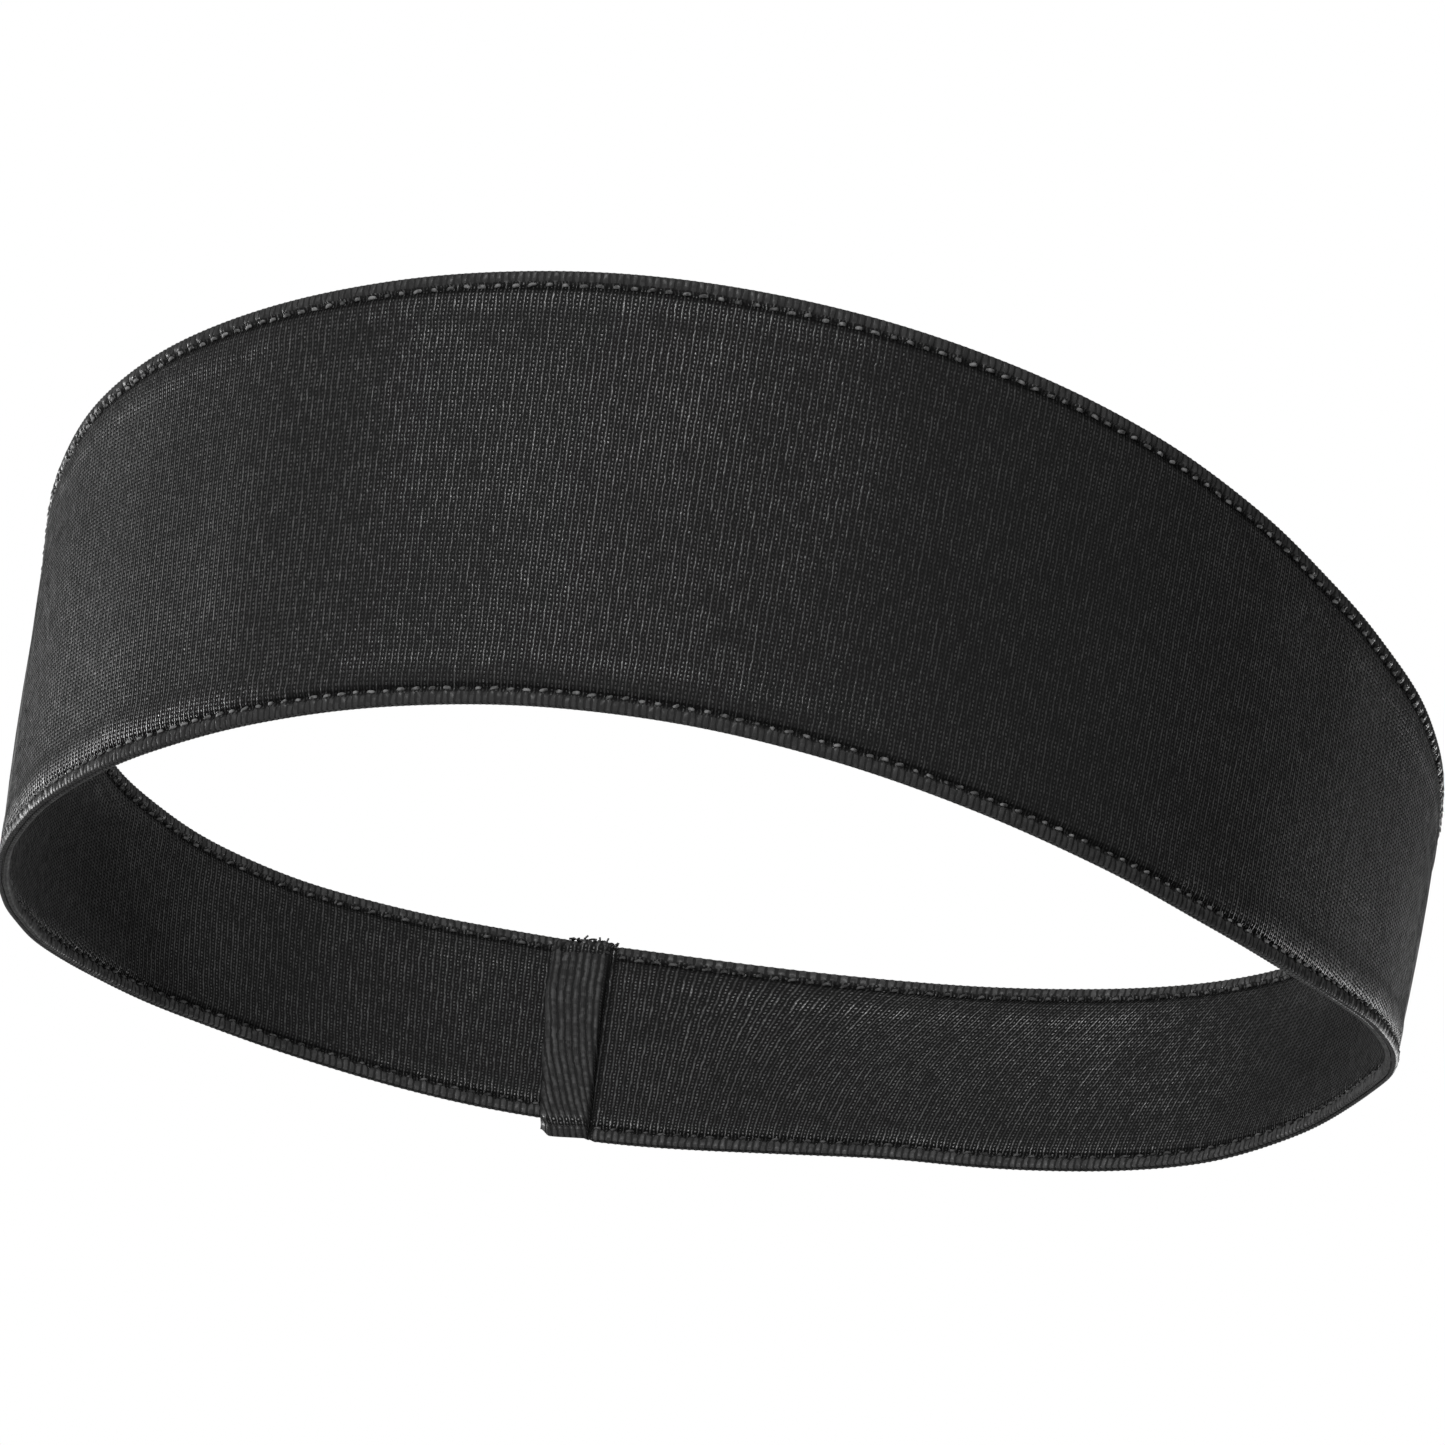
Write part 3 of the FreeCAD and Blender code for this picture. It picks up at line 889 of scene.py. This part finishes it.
def knitMaterial(name, look):
    material, tree, shader = startMaterial(name)

    def times(first, second):
        return nodeMath(tree, "MULTIPLY", first, second)

    def weigh(value, share, base):
        return nodeMath(tree, "MULTIPLY_ADD", value, share, base)

    def wave(value, often):
        return nodeMath(tree, "COSINE", times(value, often * turn))

    place = tree.nodes.new("ShaderNodeUVMap")
    place.uv_map = "knit"
    parts = tree.nodes.new("ShaderNodeSeparateXYZ")
    tree.links.new(place.outputs["UV"], parts.inputs[0])
    spot = tree.nodes.new("ShaderNodeTexCoord").outputs["Object"]
    rollAndShade = tree.nodes.new("ShaderNodeAttribute")
    rollAndShade.attribute_name = "rollAndShade"
    rollAndShade = rollAndShade.outputs["Fac"]

    # ribs and courses, counted, with the ribs straying a little
    wander = nodeMath(tree, "SUBTRACT", nodeNoise(tree, spot, look["wanderScale"], 1.0), 0.5)
    wobble = nodeMath(tree, "SUBTRACT", nodeNoise(tree, spot, look["wobbleScale"], 1.0), 0.5)
    wale = weigh(wander, look["wander"], nodeMath(tree, "DIVIDE", parts.outputs["X"], ribUnit))
    wale = weigh(wobble, look["wobble"], wale)
    course = nodeMath(tree, "DIVIDE", parts.outputs["Y"], look["dotPitch"])
    waleWave, strandWave, courseWave = wave(wale, 1), wave(wale, 2), wave(course, 1)

    # two strands to a rib, every other one cut up into dots
    strand = weigh(strandWave, 0.5, 0.5)
    broken = times(nodeRange(tree, waleWave, *look["between"]), nodeRange(tree, courseWave, *look["gap"]))
    strand = times(strand, weigh(broken, -look["cutUp"], 1.0))
    strand = times(strand, weigh(courseWave, look["pinch"], 1 - look["pinch"]))
    # on the rolled rim each rib stands up on its own
    overRim = nodeRange(tree, rollAndShade, *look["overRim"])
    single = nodeRange(tree, waleWave, *look["singleRib"])
    strand = weigh(overRim, nodeMath(tree, "SUBTRACT", single, strand), strand)

    # every loop of yarn catches the light a little differently
    strandNumber = nodeMath(tree, "FLOOR", weigh(wale, 2.0, 0.5))
    courseNumber = nodeMath(tree, "FLOOR", nodeMath(tree, "ADD", course, 0.5))
    white = tree.nodes.new("ShaderNodeTexWhiteNoise")
    tree.links.new(nodeCell(tree, strandNumber, courseNumber), white.inputs["Vector"])
    loopTone = nodeRange(tree, white.outputs["Value"], 0.0, 1.0, *look["loopTone"])
    patch = nodeRange(tree, nodeNoise(tree, spot, look["patchScale"], 3.0), *look["patch"])
    speck = nodeRange(tree, nodeNoise(tree, spot, look["speckScale"], 2.0), *look["speck"])
    # and a strand is tighter here and looser there along its length
    runs = nodeCell(tree, strandNumber, times(course, look["runPitch"]))
    run = nodeRange(tree, nodeNoise(tree, runs, look["runScale"], 1.0), *look["run"])
    tone = times(times(loopTone, patch), times(speck, run))
    share = times(nodeRange(tree, strand, look["strandFrom"], look["strandTo"]), tone)

    colour = nodeMix(tree, share, grey(look["ground"]), grey(look["strand"]))
    # painted highlight: the rolled rim and the raised flap are painted paler
    paintedHighlight = nodeRange(tree, rollAndShade, 0.0, 1.0, 1.0, look["rimHighlight"])
    # painted shade: the stitch grooves, the back seam and the flap's root are painted darker
    paintedShade = nodeRange(tree, rollAndShade, -1.0, 0.0, look["grooveShade"], 1.0)
    toned = tree.nodes.new("ShaderNodeVectorMath")
    toned.operation = "SCALE"
    tree.links.new(colour, toned.inputs[0])
    tree.links.new(times(paintedHighlight, paintedShade), toned.inputs["Scale"])
    tree.links.new(toned.outputs[0], shader.inputs["Base Color"])

    shader.inputs["Roughness"].default_value = look["roughness"]
    dull = nodeRange(tree, rollAndShade, 0.0, 1.0, 1.0, look["rolledShine"])
    # the painted shade dims the shine in those places as well
    shine = times(times(times(share, paintedShade), look["gloss"]), dull)
    tree.links.new(shine, shader.inputs["Specular IOR Level"])
    height = times(strand, weigh(loopTone, look["loopBump"], 1 - look["loopBump"]))
    height = weigh(nodeNoise(tree, spot, look["grainScale"], 1.0), look["grain"], height)
    nodeBump(tree, height, look["bump"], shader)
    return material


yarn = {
    "dark": 0.045,
    "light": 0.24,
    "roughness": 0.5,
    "shadeScale": 1500.0,
    "shade": (0.3, 0.7),
    "shine": 0.15,
    "bump": 0.03 * mm,
    "bumpScale": 4000.0,
}


def threadMaterial(name, look):
    material, tree, shader = startMaterial(name)
    spot = tree.nodes.new("ShaderNodeTexCoord").outputs["Object"]
    shade = nodeRange(tree, nodeNoise(tree, spot, look["shadeScale"], 2.0), *look["shade"])
    colour = nodeMix(tree, shade, grey(look["dark"]), grey(look["light"]))
    tree.links.new(colour, shader.inputs["Base Color"])
    shader.inputs["Roughness"].default_value = look["roughness"]
    shader.inputs["Specular IOR Level"].default_value = look["shine"]
    nodeBump(tree, nodeNoise(tree, spot, look["bumpScale"], 1.0), look["bump"], shader)
    return material


outerKnit = knitMaterial("outerKnit", knit)
liningKnit = knitMaterial("liningKnit", dict(knit, strand=0.044, gloss=1.0))
darkThread = threadMaterial("darkThread", yarn)
bobbinThread = threadMaterial("bobbinThread", dict(yarn, dark=0.03, light=0.13))
print("finishes made")


def settleIn(piece, material, node):
    piece.data.materials.append(material)
    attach(piece, "root")
    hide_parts(node)
    return piece


outerCloth = settleIn(ringCloth("outerCloth", 1), outerKnit, "outer_panel")
print("outer cloth made")
innerCloth = settleIn(ringCloth("innerCloth", -1), liningKnit, "inner_panel")
print("inner cloth made")
seamFlap = settleIn(makeFlap("seamFlap"), liningKnit, "back_seam_flap")

stitch = oneStitch()
for rim in ("upper", "lower"):
    needle = stitchRow(rim + "NeedleStitches", rim, 1, stitch)
    settleIn(needle, darkThread, rim + "_needle_topstitch")
    bobbin = stitchRow(rim + "BobbinStitches", rim, -1, stitch)
    settleIn(bobbin, bobbinThread, rim + "_bobbin_topstitch")
    settleIn(closingSeam(rim + "ClosingSeam", rim), darkThread, rim + "_closing_seam")
settleIn(backSeamThread("backSeamThread"), bobbinThread, "back_seam_thread")
fibres = looseFibres("looseFibres")
fibres.data.materials.append(outerKnit)
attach(fibres, "root")
print("threads sewn")


# Floor, light and camera.

studio = {
    "floorDrop": 0.70,
    "floorWide": 40.0,
    "floorTone": 0.8,
    "floorRoughness": 0.9,
    "floorGlow": 0.5,
    "wall": 1.0,
    "room": 0.24,
    "aim": (0.0018, 0.0, 0.0114),
    "distance": 0.945,
    "around": 11.72,
    "above": -20.90,
    "roll": 9.21,
    "lens": 201.2,
    "sensor": 36,
    "nearest": 0.01,
}

bpy.ops.object.select_all(action="DESELECT")
bpy.ops.mesh.primitive_plane_add(size=studio["floorWide"], location=(0, 0, -studio["floorDrop"]))
floor = bpy.context.object
floor.name = "floor"
floorPaint, floorTree, floorShader = startMaterial("paleFloor")
floorShader.inputs["Base Color"].default_value = grey(studio["floorTone"]) + (1.0,)
floorShader.inputs["Roughness"].default_value = studio["floorRoughness"]
floorShader.inputs["Emission Color"].default_value = (1, 1, 1, 1)
floorSeen = floorTree.nodes.new("ShaderNodeLightPath").outputs["Is Camera Ray"]
floorGlow = nodeRange(floorTree, floorSeen, 0.0, 1.0, 0.0, studio["floorGlow"])
floorTree.links.new(floorGlow, floorShader.inputs["Emission Strength"])
floor.data.materials.append(floorPaint)

world = bpy.data.worlds.new("paleRoom")
bpy.context.scene.world = world
world.use_nodes = True
sky = world.node_tree
background = next(node for node in sky.nodes if node.type == "BACKGROUND")
background.inputs["Color"].default_value = (1, 1, 1, 1)
# the white wall is bright to look at, while the light it gives the room is dim
wallSeen = sky.nodes.new("ShaderNodeLightPath").outputs["Is Camera Ray"]
wallGlow = nodeRange(sky, wallSeen, 0.0, 1.0, studio["room"], studio["wall"])
sky.links.new(wallGlow, background.inputs["Strength"])
bpy.context.scene.view_settings.view_transform = "Standard"

lamps = {  # azimuth, elevation, distance, size, watts
    "keyLamp": (-104, 0, 0.9, 0.20, 6.2),
    "frontLamp": (-11, 22, 0.9, 0.26, 4.3),
    "rimLamp": (144, 0, 0.9, 0.25, 3.4),
    "lowLamp": (-8, -46, 0.9, 0.20, 1.2),
}
for name, (azimuth, elevation, away, size, watts) in lamps.items():
    light = bpy.data.lights.new(name, "AREA")
    light.shape = "SQUARE"
    light.size = size
    light.energy = watts
    lamp = bpy.data.objects.new(name, light)
    bpy.context.scene.collection.objects.link(lamp)
    a, e = math.radians(azimuth), math.radians(elevation)
    spot = Vector((math.sin(a) * math.cos(e), -math.cos(a) * math.cos(e), math.sin(e))) * away
    lamp.location = spot
    lamp.rotation_euler = (-spot).to_track_quat("-Z", "Y").to_euler()

around, above, roll = [math.radians(studio[word]) for word in ("around", "above", "roll")]
back = Vector((math.sin(around) * math.cos(above), -math.cos(around) * math.cos(above), math.sin(above)))
right = Vector((math.cos(around), math.sin(around), 0))
up = back.cross(right)
right, up = right * math.cos(roll) + up * math.sin(roll), up * math.cos(roll) - right * math.sin(roll)
lens = bpy.data.cameras.new("camera")
lens.lens = studio["lens"]
lens.sensor_width = studio["sensor"]
lens.clip_start = studio["nearest"]
camera = bpy.data.objects.new("camera", lens)
bpy.context.scene.collection.objects.link(camera)
camera.location = Vector(studio["aim"]) + back * studio["distance"]
camera.rotation_euler = Matrix((right, up, back)).transposed().to_euler()
bpy.context.scene.camera = camera
print("stage set")
